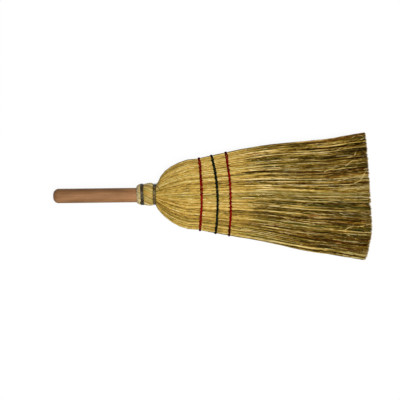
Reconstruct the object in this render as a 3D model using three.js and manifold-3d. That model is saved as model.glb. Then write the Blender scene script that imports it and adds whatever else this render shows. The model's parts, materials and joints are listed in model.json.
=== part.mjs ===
// Straw hand broom with a turned wooden handle, lying flat.
// Millimetres. +X runs from the butt of the handle to the bristle tips, +Z is up.
// The origin is on the resting plane, under the middle of the whole broom.
// Stations along the broom are counted from the neck, where the collar meets the shoulder.

import * as THREE from 'three';
import { mergeVertices } from 'three/addons/utils/BufferGeometryUtils.js';
import Module from 'manifold-3d';

const wasm = await Module();
wasm.setup();

// Fits shared by all pieces
const clearance = 0.3;        // between pieces that touch
const cutOverrun = 2;         // how far a cutting solid runs past what it cuts

// Handle
const handleDiameter = 26;
const handleGripLength = 150;     // bare wood, from the butt to the collar
const handleSocketLength = 96;    // wood held inside the collar and the head
const buttRoundLength = 9.5;
const buttFlatDiameter = 7;
const handlePointLength = 14;
const handlePointDiameter = 12;
const handleSides = 32;
const buttRoundSteps = 6;

// Wire and its windings
const wireDiameter = 1.2;
const wireTurnGap = 0.5;
const collarWireTurns = 3.5;
const neckWireTurns = 2.5;
const innerWireTurns = 3;
const collarWireStartShare = 0.4;   // where each winding starts, as a share of a full turn
const neckWireStartShare = 0.17;
const innerWireStartShare = 0.25;
const wireEndBend = 0.9;          // where the wire turns down into the stalks
const wireSeatMargin = 0.35;      // bare stalk on each side of a winding

// Collar of stalk ends; thicknesses of straw are over the bare handle
const seatStraw = 4.7;
const cuffLength = 6;
const cuffFaceStraw = 2.8;
const cuffLipStraw = 5.6;
const collarBulgeLength = 14.5;
const collarBulgeStraw = 7.6;
const collarTwistDegrees = 52;
const collarStalkCount = 22;
const cuffSwellShare = 0.6;       // how much of the cuff's swelling happens at its very end
const bulgeSteps = 5;
const bulgeEdgeShare = 0.07;      // where on a half wave the bulge starts and ends
const bulgeFullnessShare = 0.6;
const collarStalkGroove = 0.9;
const seatStalkGroove = 0.4;
const cuffStepLength = 0.9;       // every second stalk end is this much shorter

// Head outline, half widths and half depths
const neckStraw = 6.6;
const shoulderLength = 72;
const shoulderHalfWidth = 63.4;
const shoulderCrestStation = 28;
const shoulderHalfDepth = 24.4;
const sewnHalfDepth = 16;
const headLength = 377;           // neck to the bristle tips at the corners
const tipHalfWidth = 114.8;
const tipHalfDepth = 24.8;
const tipBow = 10.5;              // the middle of the tip edge reaches this much further
const skirtBow = 11;
const restFlatDepth = 0.5;
const shoulderRoundShare = 2;     // exponents of the shoulder's rise
const shoulderFullnessShare = 0.8;
const roundSectionShare = 2;      // exponents of the cross-section
const sewnSectionShare = 2.5;

// Straw cover over the shoulder
const coverThickness = 3;
const coverHoldStation = 3;       // nearer than this the cover grips the handle itself
const coverRibCount = 40;
const coverRibDepth = 0.8;
const coverStationShares = [0.06, 0.14, 0.25, 0.42, 0.66, 1];

// Straw inside the head
const innerBundleStation = 7;
const innerBundleStraw = 3.5;
const innerBundleWidthShare = 0.42;
const innerWireStation = 10;
const sideBundleStation = 20;
const innerSides = 24;
const innerBundleSteps = 6;

// Nails
const nailDiameter = 2;
const nailHeadDiameter = 4.4;
const nailHeadThickness = 0.8;
const nailDepthInWood = 9;
const startNailStation = 25;
const nailBulgeShare = 0.5;       // the finish nail stands in the middle of the bulge

// Twine rows
const twineDiameter = 1.5;
const twineTurnGap = 0.5;
const twineTurns = 1.5;
const twineSag = 0.6;             // room for the straight steps of the twine over a round head
const twineEndDepth = 3.2;
const twineEndBend = 1.2;
const nearRowStation = 78;        // where a row meets the head's edge
const nearRowBow = 5;             // how far its middle bows towards the tips
const nearRowTilt = 0.5;          // how far its -Y end lies nearer the tips
const greenRowStation = 103.2;
const greenRowBow = 8;
const greenRowTilt = 3.3;
const farRowStation = 128.2;
const farRowBow = 6.6;
const farRowTilt = 2.5;
const twineRed = 0x9c1a12;
const twineGreen = 0x16301a;
const twineRows = [
  { name: 'red_twine_near', edgeStation: nearRowStation, bow: nearRowBow, tilt: nearRowTilt, colour: twineRed },
  { name: 'green_twine', edgeStation: greenRowStation, bow: greenRowBow, tilt: greenRowTilt, colour: twineGreen },
  { name: 'red_twine_far', edgeStation: farRowStation, bow: farRowBow, tilt: farRowTilt, colour: twineRed },
];

// Bristles
const sliceAfterRow = 13;         // from the last row's edge to the slice that the strands leave
const sliceThickness = 5;
const strandColumns = 15;
const strandRows = 6;
const leastStrandRows = 2;
const strandWidthShare = 0.5;
const strandDepthShare = 0.56;
const strandJitterShare = 0.06;
const strandRagged = 4;
const strandMiddleShare = 0.5;
const strandCornerLift = 0.25;    // centres a three-cornered strand in its own place
const sliceSides = 24;

// Loops of wire and twine
const wireLoopSteps = 24;
const twineLoopSteps = 24;
const innerLoopSteps = 14;
const loopSides = 6;
const socketSides = 8;

// Worked out from the sizes above
const handleRadius = handleDiameter / 2;
const wirePitch = wireDiameter + wireTurnGap;
const wireSeatRadius = handleRadius + seatStraw;
const cuffFaceRadius = handleRadius + cuffFaceStraw;
const cuffLipRadius = handleRadius + cuffLipStraw;
const collarBulgeRadius = handleRadius + collarBulgeStraw;
const neckHalfWidth = handleRadius + neckStraw;
const innerBundleRadius = handleRadius + innerBundleStraw;
const collarSeatLength = (collarWireTurns - 1) * wirePitch + wireDiameter + 2 * wireSeatMargin + wirePitch;
const neckSeatLength = (neckWireTurns - 1) * wirePitch + wireDiameter + 2 * wireSeatMargin + wirePitch;
const bulgeEnd = -neckSeatLength;
const bulgeStart = bulgeEnd - collarBulgeLength;
const collarSeatStart = bulgeStart - collarSeatLength;
const cuffFace = collarSeatStart - cuffLength;
const collarEnd = -neckSeatLength / 2;
const coverStart = collarEnd + clearance;
const lastRow = twineRows[twineRows.length - 1];
const sliceStart = lastRow.edgeStation + sliceAfterRow;
const sliceEnd = sliceStart + sliceThickness;
const coverEnd = sliceStart - clearance;
const buttStation = cuffFace - handleGripLength;
const furthestTip = headLength + tipBow;
const strandTopShare = strandDepthShare * (1 - strandCornerLift);
const tipReach = tipHalfDepth * (1 - (0.5 - strandTopShare) / Math.round(strandRows));
const axisHeight = Math.max(shoulderHalfDepth, tipReach) - restFlatDepth;
const middleStation = (buttStation + furthestTip) / 2;

function smooth(share) {
  const s = THREE.MathUtils.clamp(share, 0, 1);
  return s * s * (3 - 2 * s);
}

// Half width of the head at a station
function halfWidth(station) {
  if (station <= 0) {
    return wireSeatRadius;
  }
  if (station < shoulderLength) {
    const round = 1 - Math.pow(1 - station / shoulderLength, shoulderRoundShare);
    return THREE.MathUtils.lerp(neckHalfWidth, shoulderHalfWidth, Math.pow(round, shoulderFullnessShare));
  }
  const share = (station - shoulderLength) / (headLength - shoulderLength);
  return THREE.MathUtils.lerp(shoulderHalfWidth, tipHalfWidth, share) + skirtBow * share * (1 - share);
}

// Half depth of the head at a station
function halfDepth(station) {
  if (station <= 0) {
    return wireSeatRadius;
  }
  if (station < shoulderCrestStation) {
    const rise = Math.sin((station / shoulderCrestStation) * (Math.PI / 2));
    return THREE.MathUtils.lerp(neckHalfWidth, shoulderHalfDepth, rise);
  }
  if (station < lastRow.edgeStation) {
    const share = (station - shoulderCrestStation) / (lastRow.edgeStation - shoulderCrestStation);
    return THREE.MathUtils.lerp(shoulderHalfDepth, sewnHalfDepth, smooth(share));
  }
  const share = (station - lastRow.edgeStation) / (headLength - lastRow.edgeStation);
  return THREE.MathUtils.lerp(sewnHalfDepth, tipHalfDepth, share);
}

// The section is round at the neck and squarer where the head is sewn flat
function sectionExponent(station) {
  return THREE.MathUtils.lerp(roundSectionShare, sewnSectionShare, smooth(station / shoulderLength));
}

function signedPower(value, exponent) {
  return Math.sign(value) * Math.pow(Math.abs(value), exponent);
}

// A point of the head's section, moved inwards by inset
function sectionPoint(station, angle, inset = 0) {
  const power = 2 / sectionExponent(station);
  const y = (halfWidth(station) - inset) * signedPower(Math.cos(angle), power);
  const z = (halfDepth(station) - inset) * signedPower(Math.sin(angle), power);
  return new THREE.Vector3(station, y, z);
}

function circlePoint(station, angle, radius) {
  return new THREE.Vector3(station, radius * Math.cos(angle), radius * Math.sin(angle));
}

function ringOf(count, pointAt) {
  return Array.from({ length: count }, (unused, index) => pointAt((index / count) * Math.PI * 2, index));
}

// A closed body through rings of points that turn the same way, with a flat or domed end on each side
function loft(rings) {
  const count = rings[0].length;
  const positions = [];
  const indices = [];
  for (const ring of rings) {
    for (const point of ring) {
      positions.push(point.x, point.y, point.z);
    }
  }
  for (let r = 0; r < rings.length - 1; r += 1) {
    for (let k = 0; k < count; k += 1) {
      const a = r * count + k;
      const b = r * count + ((k + 1) % count);
      indices.push(a, b, b + count);
      indices.push(a, b + count, a + count);
    }
  }
  addCap(positions, indices, rings[0], 0, true);
  addCap(positions, indices, rings[rings.length - 1], (rings.length - 1) * count, false);
  const geometry = new THREE.BufferGeometry();
  geometry.setAttribute('position', new THREE.Float32BufferAttribute(positions, 3));
  geometry.setIndex(indices);
  return outwardFacing(geometry);
}

function addCap(positions, indices, ring, offset, first) {
  if (ring.length === 3) {
    indices.push(offset, offset + (first ? 2 : 1), offset + (first ? 1 : 2));
    return;
  }
  const centre = new THREE.Vector3();
  for (const point of ring) {
    centre.addScaledVector(point, 1 / ring.length);
  }
  const middle = positions.length / 3;
  positions.push(centre.x, centre.y, centre.z);
  for (let k = 0; k < ring.length; k += 1) {
    const a = offset + k;
    const b = offset + ((k + 1) % ring.length);
    if (first) {
      indices.push(middle, b, a);
    } else {
      indices.push(middle, a, b);
    }
  }
}

// Turns the faces over when the body came out inside out
function outwardFacing(geometry) {
  const position = geometry.getAttribute('position');
  const index = geometry.getIndex();
  const [a, b, c] = [new THREE.Vector3(), new THREE.Vector3(), new THREE.Vector3()];
  let volume = 0;
  for (let i = 0; i < index.count; i += 3) {
    a.fromBufferAttribute(position, index.getX(i));
    b.fromBufferAttribute(position, index.getX(i + 1));
    c.fromBufferAttribute(position, index.getX(i + 2));
    volume += a.dot(b.cross(c));
  }
  if (volume < 0) {
    for (let i = 0; i < index.count; i += 3) {
      const second = index.getX(i + 1);
      index.setX(i + 1, index.getX(i + 2));
      index.setX(i + 2, second);
    }
  }
  return geometry;
}

// Booleans
function solid(geometry) {
  const plain = geometry.clone();
  plain.deleteAttribute('normal');
  plain.deleteAttribute('uv');
  const merged = mergeVertices(plain, 1e-4);
  const mesh = new wasm.Mesh({
    numProp: 3,
    vertProperties: new Float32Array(merged.getAttribute('position').array),
    triVerts: new Uint32Array(merged.getIndex().array),
  });
  return new wasm.Manifold(mesh);
}

function geometryOf(body) {
  const mesh = body.getMesh();
  const geometry = new THREE.BufferGeometry();
  geometry.setAttribute('position', new THREE.Float32BufferAttribute(mesh.vertProperties, 3));
  geometry.setIndex(new THREE.Uint32BufferAttribute(mesh.triVerts, 1));
  geometry.computeVertexNormals();
  return geometry;
}

function boxBetween(low, high) {
  const size = new THREE.Vector3().subVectors(high, low);
  const geometry = new THREE.BoxGeometry(size.x, size.y, size.z);
  geometry.translate((low.x + high.x) / 2, (low.y + high.y) / 2, (low.z + high.z) / 2);
  return solid(geometry);
}

// One corner region of the head: side is +1 for +Y and -1 for -Y, face is +1 for the front, 0 keeps both
function cornerBox(side, face) {
  const reach = tipHalfWidth + cutOverrun;
  const height = axisHeight + cutOverrun;
  const gap = clearance / 2;
  const low = new THREE.Vector3(cuffFace, side > 0 ? gap : -reach, face > 0 ? gap : -height);
  const high = new THREE.Vector3(furthestTip + cutOverrun, side < 0 ? -gap : reach, face < 0 ? -gap : height);
  if (side === 0) {
    low.y = -reach;
    high.y = reach;
  }
  if (face === 0) {
    low.z = -height;
    high.z = height;
  }
  return boxBetween(low, high);
}

// All that lies above the resting plane
function aboveRest() {
  const reach = tipHalfWidth + cutOverrun;
  const low = new THREE.Vector3(cuffFace, -reach, -axisHeight);
  const high = new THREE.Vector3(furthestTip + cutOverrun, reach, axisHeight + cutOverrun);
  return boxBetween(low, high);
}

// Handle, turned about the broom's axis
function turnedAboutX(profile, segments) {
  const geometry = new THREE.LatheGeometry(profile, segments);
  geometry.rotateZ(-Math.PI / 2);
  return geometry;
}

function handleProfile(extra) {
  const radius = handleRadius + extra;
  const flat = buttFlatDiameter / 2 + extra;
  const end = cuffFace + handleSocketLength + extra;
  const start = buttStation - extra;
  const profile = [new THREE.Vector2(0, start)];
  for (let i = 0; i <= buttRoundSteps; i += 1) {
    const turn = (i / buttRoundSteps) * (Math.PI / 2);
    const out = flat + (radius - flat) * Math.sin(turn);
    profile.push(new THREE.Vector2(out, start + buttRoundLength * (1 - Math.cos(turn))));
  }
  profile.push(new THREE.Vector2(radius, end - handlePointLength));
  profile.push(new THREE.Vector2(handlePointDiameter / 2 + extra, end));
  profile.push(new THREE.Vector2(0, end));
  return profile;
}

function handleSolid(extra) {
  return solid(turnedAboutX(handleProfile(extra), handleSides));
}

// A round nail pointing down into the handle, head at a given height over the axis
function nailSolid(station, headHeight, up, extra, length) {
  const shank = nailDiameter / 2 + extra;
  const head = nailHeadDiameter / 2 + extra;
  const top = headHeight + extra;
  const seat = headHeight - nailHeadThickness - extra;
  const tipLength = nailDiameter;
  const profile = [
    new THREE.Vector2(0, headHeight - length - extra),
    new THREE.Vector2(shank, headHeight - length + tipLength),
    new THREE.Vector2(shank, seat),
    new THREE.Vector2(head, seat),
    new THREE.Vector2(head, top),
    new THREE.Vector2(0, top),
  ];
  const geometry = new THREE.LatheGeometry(profile, 12);
  geometry.rotateX(up > 0 ? Math.PI / 2 : -Math.PI / 2);
  geometry.translate(station, 0, 0);
  return solid(geometry);
}

// The finish nail stands on the underside of the collar's bulge, sunk to the stalk surface
const finishNailStation = THREE.MathUtils.lerp(bulgeStart, bulgeEnd, nailBulgeShare);
const finishNailHeight = collarBulgeRadius - clearance;
const finishNailLength = finishNailHeight - handleRadius + nailDepthInWood;

// The start nail is sunk level with the inner bundle
const startNailHeight = innerBundleRadius - clearance;
const startNailLength = startNailHeight - handleRadius + nailDepthInWood;

function finishNail(extra) {
  return nailSolid(finishNailStation, finishNailHeight, -1, extra, finishNailLength);
}

function startNail(extra) {
  return nailSolid(startNailStation, startNailHeight, 1, extra, startNailLength);
}

function makeHandle() {
  return handleSolid(0).subtract(finishNail(clearance)).subtract(startNail(clearance));
}

// Collar: stalk ends gathered round the handle, pressed in under the wires and twisted in between
function collarSection(station, radius, groove, shortened) {
  const twistShare = (station - cuffFace) / (collarEnd - cuffFace);
  const twist = THREE.MathUtils.degToRad(collarTwistDegrees) * twistShare;
  return ringOf(collarStalkCount * 2, (angle, index) => {
    const valley = index % 2 === 1;
    const short = shortened && Math.floor(index / 2) % 2 === 1;
    const point = circlePoint(station, angle + twist, radius - (valley ? groove : 0));
    point.x += short ? cuffStepLength : 0;
    return point;
  });
}

function makeCollar() {
  const swollenRadius = THREE.MathUtils.lerp(cuffFaceRadius, cuffLipRadius, cuffSwellShare);
  const lipStation = collarSeatStart - wireSeatMargin;
  const rings = [collarSection(cuffFace, cuffFaceRadius, collarStalkGroove, true)];
  rings.push(collarSection(cuffFace + 2 * cuffStepLength, swollenRadius, collarStalkGroove));
  rings.push(collarSection(lipStation, cuffLipRadius, collarStalkGroove));
  rings.push(collarSection(collarSeatStart, wireSeatRadius, seatStalkGroove));
  rings.push(collarSection(bulgeStart, wireSeatRadius, seatStalkGroove));
  for (let i = 0; i <= bulgeSteps; i += 1) {
    const share = i / bulgeSteps;
    const station = THREE.MathUtils.lerp(bulgeStart + wireSeatMargin, bulgeEnd - wireSeatMargin, share);
    const wave = Math.sin(Math.PI * THREE.MathUtils.lerp(bulgeEdgeShare, 1 - bulgeEdgeShare, share));
    const swell = Math.pow(wave, bulgeFullnessShare);
    const radius = THREE.MathUtils.lerp(wireSeatRadius, collarBulgeRadius, swell);
    rings.push(collarSection(station, radius, collarStalkGroove));
  }
  rings.push(collarSection(bulgeEnd, wireSeatRadius, seatStalkGroove));
  rings.push(collarSection(collarEnd, wireSeatRadius, seatStalkGroove));
  return solid(loft(rings))
    .subtract(handleSolid(clearance))
    .subtract(finishNail(clearance));
}

// A tube through points, made of rings of a few sides; windings run round the X axis
function tubeThrough(points, radius, sides) {
  const along = new THREE.Vector3();
  const axis = new THREE.Vector3(1, 0, 0);
  const rings = points.map((point, i) => {
    const before = points[Math.max(i - 1, 0)];
    const after = points[Math.min(i + 1, points.length - 1)];
    along.subVectors(after, before).normalize();
    const sideways = axis.clone().addScaledVector(along, -axis.dot(along)).normalize();
    const outwards = new THREE.Vector3().crossVectors(along, sideways);
    return ringOf(sides, (angle) => point.clone()
      .addScaledVector(sideways, radius * Math.cos(angle))
      .addScaledVector(outwards, radius * Math.sin(angle)));
  });
  return solid(loft(rings));
}

// The least distance between stretches of one winding that lie more than half a turn apart
function leastGap(name, points, diameter, stepsPerTurn) {
  let least = Infinity;
  for (let i = 0; i < points.length; i += 1) {
    for (let j = i + Math.floor(stepsPerTurn / 2); j < points.length; j += 1) {
      least = Math.min(least, points[i].distanceTo(points[j]) - diameter);
    }
  }
  console.log(`${name}: least gap to itself ${least.toFixed(2)} mm`);
}

// Wire windings; the straight steps of a loop stay clear of the round seat
function windingPoints(firstStation, seatRadius, turns, startShare, stepsPerTurn) {
  const startAngle = startShare * Math.PI * 2;
  const coilRadius = (seatRadius + clearance) / Math.cos(Math.PI / stepsPerTurn) + wireDiameter / 2;
  const lowest = coilRadius - wireEndBend - wireDiameter;
  const points = [circlePoint(firstStation, startAngle, lowest)];
  points.push(circlePoint(firstStation, startAngle, coilRadius - wireEndBend));
  const steps = Math.round(turns * stepsPerTurn);
  const bendTurns = wireEndBend / (coilRadius * Math.PI * 2);
  const coilPoint = (turn) => circlePoint(
    firstStation + wirePitch * turn, startAngle + turn * Math.PI * 2, coilRadius);
  points.push(coilPoint(bendTurns));
  for (let i = 1; i < steps; i += 1) {
    points.push(coilPoint(i / stepsPerTurn));
  }
  points.push(coilPoint(turns - bendTurns));
  const lastStation = firstStation + wirePitch * turns;
  const lastAngle = startAngle + turns * Math.PI * 2;
  points.push(circlePoint(lastStation, lastAngle, coilRadius - wireEndBend));
  points.push(circlePoint(lastStation, lastAngle, lowest));
  return points;
}

// Small sockets that a winding's two ends go into, wide enough for the bend above them
function endSockets(points, radius) {
  const ends = [points.slice(0, 3), points.slice(-3).reverse()];
  return ends.map(([inner, outer, run]) => {
    const along = new THREE.Vector3().subVectors(inner, outer).normalize();
    const bottom = inner.clone().addScaledVector(along, clearance);
    return tubeThrough([bottom, outer, run], radius + clearance, socketSides);
  });
}

function cutSockets(body, points, radius) {
  return endSockets(points, radius).reduce((rest, socket) => rest.subtract(socket), body);
}

const firstTurnInSeat = wireSeatMargin + wireDiameter / 2;
const collarWirePoints = windingPoints(
  collarSeatStart + firstTurnInSeat, wireSeatRadius, collarWireTurns, collarWireStartShare, wireLoopSteps);
const neckWirePoints = windingPoints(
  bulgeEnd + firstTurnInSeat, wireSeatRadius, neckWireTurns, neckWireStartShare, wireLoopSteps);
const innerWirePoints = windingPoints(
  innerWireStation, innerBundleRadius, innerWireTurns, innerWireStartShare, innerLoopSteps);

// Straw cover: a ribbed skin over the whole shoulder and the sewn part, split into two halves
function coverStations() {
  const neckLip = wireSeatMargin / 2;
  const shoulder = coverStationShares.map((share) => share * shoulderLength);
  const sewn = twineRows.map((row) => row.edgeStation);
  return [coverStart, -neckLip, neckLip, ...shoulder, ...sewn, coverEnd];
}

function coverOutside() {
  return solid(loft(coverStations().map((station) => ringOf(coverRibCount * 2, (angle, index) => {
    const groove = station < 0 ? seatStalkGroove : coverRibDepth;
    return sectionPoint(station, angle, index % 2 === 1 ? groove : 0);
  }))));
}

// A smooth body that fills the head up to an even depth under the surface
function insideBody(inset) {
  const stations = coverStations().filter((station) => station > coverHoldStation);
  const rings = [coverHoldStation, ...stations, coverEnd + cutOverrun].map((station) => (
    ringOf(innerSides, (angle) => sectionPoint(station, angle, inset))
  ));
  return solid(loft(rings));
}

// The stretch of the head between two stations
function stretchBox(from, to) {
  const reach = tipHalfWidth + cutOverrun;
  const height = axisHeight + cutOverrun;
  return boxBetween(new THREE.Vector3(from, -reach, -height), new THREE.Vector3(to, reach, height));
}

function makeCover(face) {
  let cover = coverOutside()
    .subtract(insideBody(coverThickness))
    .subtract(handleSolid(clearance));
  cover = cutSockets(cover, neckWirePoints, wireDiameter / 2);
  for (const row of twineRows) {
    cover = cutSockets(cover, twinePoints(row), twineDiameter / 2);
  }
  return cover.intersect(cornerBox(0, face)).intersect(aboveRest());
}

// Inner bundle on the handle, and the two side bundles that widen the shoulder
function innerBundleSection(station, extra) {
  const share = smooth((station - innerBundleStation) / (coverEnd - innerBundleStation));
  const wide = THREE.MathUtils.lerp(innerBundleRadius, halfWidth(station) * innerBundleWidthShare, share);
  const deep = Math.min(innerBundleRadius, halfDepth(station) - coverThickness - clearance);
  return ringOf(innerSides, (angle) => new THREE.Vector3(
    station, (wide + extra) * Math.cos(angle), (deep + extra) * Math.sin(angle)));
}

function innerBundleBody(extra) {
  const rings = Array.from({ length: innerBundleSteps + 1 }, (unused, i) => {
    const station = THREE.MathUtils.lerp(innerBundleStation - extra, coverEnd + extra, i / innerBundleSteps);
    return innerBundleSection(station, extra);
  });
  return solid(loft(rings));
}

function makeInnerBundle() {
  const body = innerBundleBody(0)
    .intersect(insideBody(coverThickness + clearance))
    .subtract(handleSolid(clearance))
    .subtract(startNail(clearance));
  return cutSockets(body, innerWirePoints, wireDiameter / 2);
}

function makeSideBundle(side) {
  let body = insideBody(coverThickness + clearance)
    .intersect(stretchBox(sideBundleStation, coverEnd))
    .subtract(innerBundleBody(clearance))
    .intersect(cornerBox(side, 0));
  for (const row of twineRows) {
    body = cutSockets(body, twinePoints(row), twineDiameter / 2);
  }
  return body;
}

// Twine rows: one and a half turns round the head, the ends tucked in at the two edges
function rowStation(row, y) {
  const share = y / halfWidth(row.edgeStation);
  return row.edgeStation + row.bow * (1 - share * share) - row.tilt * share;
}

// Steps lie closer where the head's edge turns sharply
function evenedAngle(angle, station) {
  const flatness = halfDepth(station) / halfWidth(station);
  const sharp = Math.atan2(Math.sin(angle) * flatness, Math.cos(angle));
  const turns = Math.round((angle - sharp) / (Math.PI * 2));
  return (angle + sharp + turns * Math.PI * 2) / 2;
}

function twinePoints(row) {
  const offset = twineDiameter / 2 + clearance + twineSag;
  const pitch = twineDiameter + twineTurnGap;
  const steps = Math.round(twineTurns * twineLoopSteps);
  const points = [];
  for (let i = 0; i <= steps; i += 1) {
    const turn = i / twineLoopSteps;
    const angle = evenedAngle(turn * Math.PI * 2, row.edgeStation);
    const rough = sectionPoint(row.edgeStation, angle, -offset);
    const station = rowStation(row, rough.y);
    const point = sectionPoint(station, angle, -offset);
    point.x = station + pitch * (turn - twineTurns / 2);
    points.push(point);
  }
  return tuckEnds(points);
}

function tuckEnds(points) {
  const first = points[0];
  const last = points[points.length - 1];
  const middle = points.slice(1, -1);
  const inwards = (point, depth) => point.clone().setY(point.y - Math.sign(point.y) * depth);
  return [
    inwards(first, twineEndDepth), inwards(first, twineEndBend),
    ...middle,
    inwards(last, twineEndBend), inwards(last, twineEndDepth),
  ];
}

// Bristles: strands that fan out from a slice of the head, none crossing
function strandDepthAt(acrossShare) {
  return Math.pow(1 - Math.pow(acrossShare, sewnSectionShare), 1 / sewnSectionShare);
}

function strandLattice() {
  const places = [];
  for (let column = 0; column < strandColumns; column += 1) {
    const across = (column + 0.5) / strandColumns;
    const depth = strandDepthAt(across);
    const rows = Math.max(leastStrandRows, Math.round(strandRows * depth));
    for (let row = 0; row < rows; row += 1) {
      places.push({ column, row, across, up: (row + 0.5) / rows, depth, rows });
    }
  }
  return places;
}

function strandRing(place, station, side, face, jitter) {
  const wide = halfWidth(station);
  const deep = halfDepth(station) * place.depth;
  const pitchAcross = wide / strandColumns;
  const pitchUp = deep / place.rows;
  const y = place.across * wide + jitter.across * pitchAcross;
  const z = place.up * deep + jitter.up * pitchUp;
  return [90, 210, 330].map((degrees) => {
    const angle = THREE.MathUtils.degToRad(degrees);
    return new THREE.Vector3(
      station,
      side * (y + pitchAcross * strandWidthShare * Math.cos(angle)),
      face * (z + pitchUp * strandDepthShare * (Math.sin(angle) - strandCornerLift)),
    );
  });
}

function strandSolid(place, index, side, face) {
  THREE.MathUtils.seededRandom(index + 1);
  const draw = () => 2 * THREE.MathUtils.seededRandom() - 1;
  const none = { across: 0, up: 0 };
  const bend = { across: strandJitterShare * draw(), up: strandJitterShare * draw() };
  const tip = { across: strandJitterShare * draw(), up: strandJitterShare * draw() };
  const bow = tipBow * (1 - place.across * place.across);
  const ragged = place.column === 0 && place.row === 0 ? 0 : strandRagged * Math.abs(draw());
  const tipStation = headLength + bow - ragged;
  const middle = THREE.MathUtils.lerp(sliceEnd, tipStation, strandMiddleShare);
  return loft([
    strandRing(place, sliceEnd, side, face, none),
    strandRing(place, middle, side, face, bend),
    strandRing(place, tipStation, side, face, tip),
  ]);
}

console.log(`strands in all: ${4 * strandLattice().length}`);

function makeBristles(side, face) {
  const slice = solid(loft([sliceStart, sliceEnd].map((station) => (
    ringOf(sliceSides, (angle) => sectionPoint(station, angle))
  )))).intersect(cornerBox(side, face));
  const strands = strandLattice().map((place, index) => solid(strandSolid(place, index, side, face)));
  return strands.reduce((rest, strand) => rest.add(strand), slice).intersect(aboveRest());
}

// Finishes
const beech = new THREE.MeshStandardMaterial({ color: 0x94704e, roughness: 0.6, metalness: 0 });
const goldenStraw = new THREE.MeshStandardMaterial({ color: 0xbd9a54, roughness: 0.7, metalness: 0 });
const oliveStraw = new THREE.MeshStandardMaterial({ color: 0x8c753a, roughness: 0.75, metalness: 0 });
const innerStraw = new THREE.MeshStandardMaterial({ color: 0xa88f56, roughness: 0.8, metalness: 0 });
const paleStalk = new THREE.MeshStandardMaterial({ color: 0xb79e66, roughness: 0.7, metalness: 0 });
const darkWire = new THREE.MeshStandardMaterial({ color: 0x4a4a46, roughness: 0.4, metalness: 1 });
const nailSteel = new THREE.MeshStandardMaterial({ color: 0x6e6e6c, roughness: 0.45, metalness: 1 });

const broom = new THREE.Group();
broom.position.set(-middleStation, 0, axisHeight);

function addPiece(name, body, material) {
  const mesh = new THREE.Mesh(geometryOf(body), material);
  mesh.name = name;
  broom.add(mesh);
}

addPiece('handle', makeHandle(), beech);
addPiece('start_nail', startNail(0), nailSteel);
addPiece('finish_nail', finishNail(0), nailSteel);
addPiece('collar_stalks', cutSockets(cutSockets(makeCollar(), collarWirePoints, wireDiameter / 2),
  neckWirePoints, wireDiameter / 2), paleStalk);
addPiece('collar_wire', tubeThrough(collarWirePoints, wireDiameter / 2, loopSides), darkWire);
addPiece('neck_wire', tubeThrough(neckWirePoints, wireDiameter / 2, loopSides), darkWire);
addPiece('inner_bundle', makeInnerBundle(), innerStraw);
addPiece('inner_wire', tubeThrough(innerWirePoints, wireDiameter / 2, loopSides), darkWire);
addPiece('side_bundle_left', makeSideBundle(1), innerStraw);
addPiece('side_bundle_right', makeSideBundle(-1), innerStraw);
addPiece('straw_cover_front', makeCover(1), goldenStraw);
addPiece('straw_cover_back', makeCover(-1), goldenStraw);

for (const row of twineRows) {
  const colour = new THREE.MeshStandardMaterial({ color: row.colour, roughness: 0.8, metalness: 0 });
  addPiece(row.name, tubeThrough(twinePoints(row), twineDiameter / 2, loopSides), colour);
  leastGap(row.name, twinePoints(row), twineDiameter, twineLoopSteps);
}
leastGap('collar_wire', collarWirePoints, wireDiameter, wireLoopSteps);
leastGap('neck_wire', neckWirePoints, wireDiameter, wireLoopSteps);
leastGap('inner_wire', innerWirePoints, wireDiameter, innerLoopSteps);

for (const [sideName, side] of [['left', 1], ['right', -1]]) {
  for (const [faceName, face] of [['front', 1], ['back', -1]]) {
    addPiece(`bristles_${faceName}_${sideName}`, makeBristles(side, face), oliveStraw);
  }
}

export default broom;
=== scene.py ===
# Straw hand broom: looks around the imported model, seen flat on from above.
# Metres, in the model's own frame: +X from the butt to the bristle tips, +Y across, +Z up.
import json
import math

import bpy
import numpy as np
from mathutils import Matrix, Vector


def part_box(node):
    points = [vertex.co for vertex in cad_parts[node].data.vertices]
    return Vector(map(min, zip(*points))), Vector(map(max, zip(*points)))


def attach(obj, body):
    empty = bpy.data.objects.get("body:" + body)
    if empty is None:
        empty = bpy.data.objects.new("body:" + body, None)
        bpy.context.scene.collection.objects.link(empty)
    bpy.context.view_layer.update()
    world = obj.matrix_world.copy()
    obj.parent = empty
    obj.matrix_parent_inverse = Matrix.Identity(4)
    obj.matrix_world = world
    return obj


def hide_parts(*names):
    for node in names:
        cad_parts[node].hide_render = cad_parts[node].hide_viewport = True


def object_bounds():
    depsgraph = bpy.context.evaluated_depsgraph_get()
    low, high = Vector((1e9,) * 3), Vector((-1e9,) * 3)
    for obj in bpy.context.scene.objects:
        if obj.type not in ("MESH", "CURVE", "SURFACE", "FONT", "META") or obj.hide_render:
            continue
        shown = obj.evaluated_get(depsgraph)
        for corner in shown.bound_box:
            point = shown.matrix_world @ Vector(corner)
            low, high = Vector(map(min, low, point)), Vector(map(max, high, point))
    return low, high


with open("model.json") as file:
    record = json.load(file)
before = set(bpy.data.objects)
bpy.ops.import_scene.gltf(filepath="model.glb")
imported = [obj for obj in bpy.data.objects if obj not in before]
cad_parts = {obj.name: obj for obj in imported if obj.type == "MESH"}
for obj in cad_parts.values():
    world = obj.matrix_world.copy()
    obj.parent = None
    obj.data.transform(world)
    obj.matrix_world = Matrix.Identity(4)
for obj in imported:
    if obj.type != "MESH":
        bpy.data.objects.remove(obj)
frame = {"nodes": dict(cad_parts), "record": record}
cadLow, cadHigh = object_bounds()
bpy.ops.object.select_all(action="DESELECT")
print("frame loaded:", len(frame["nodes"]), "solids")

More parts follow.
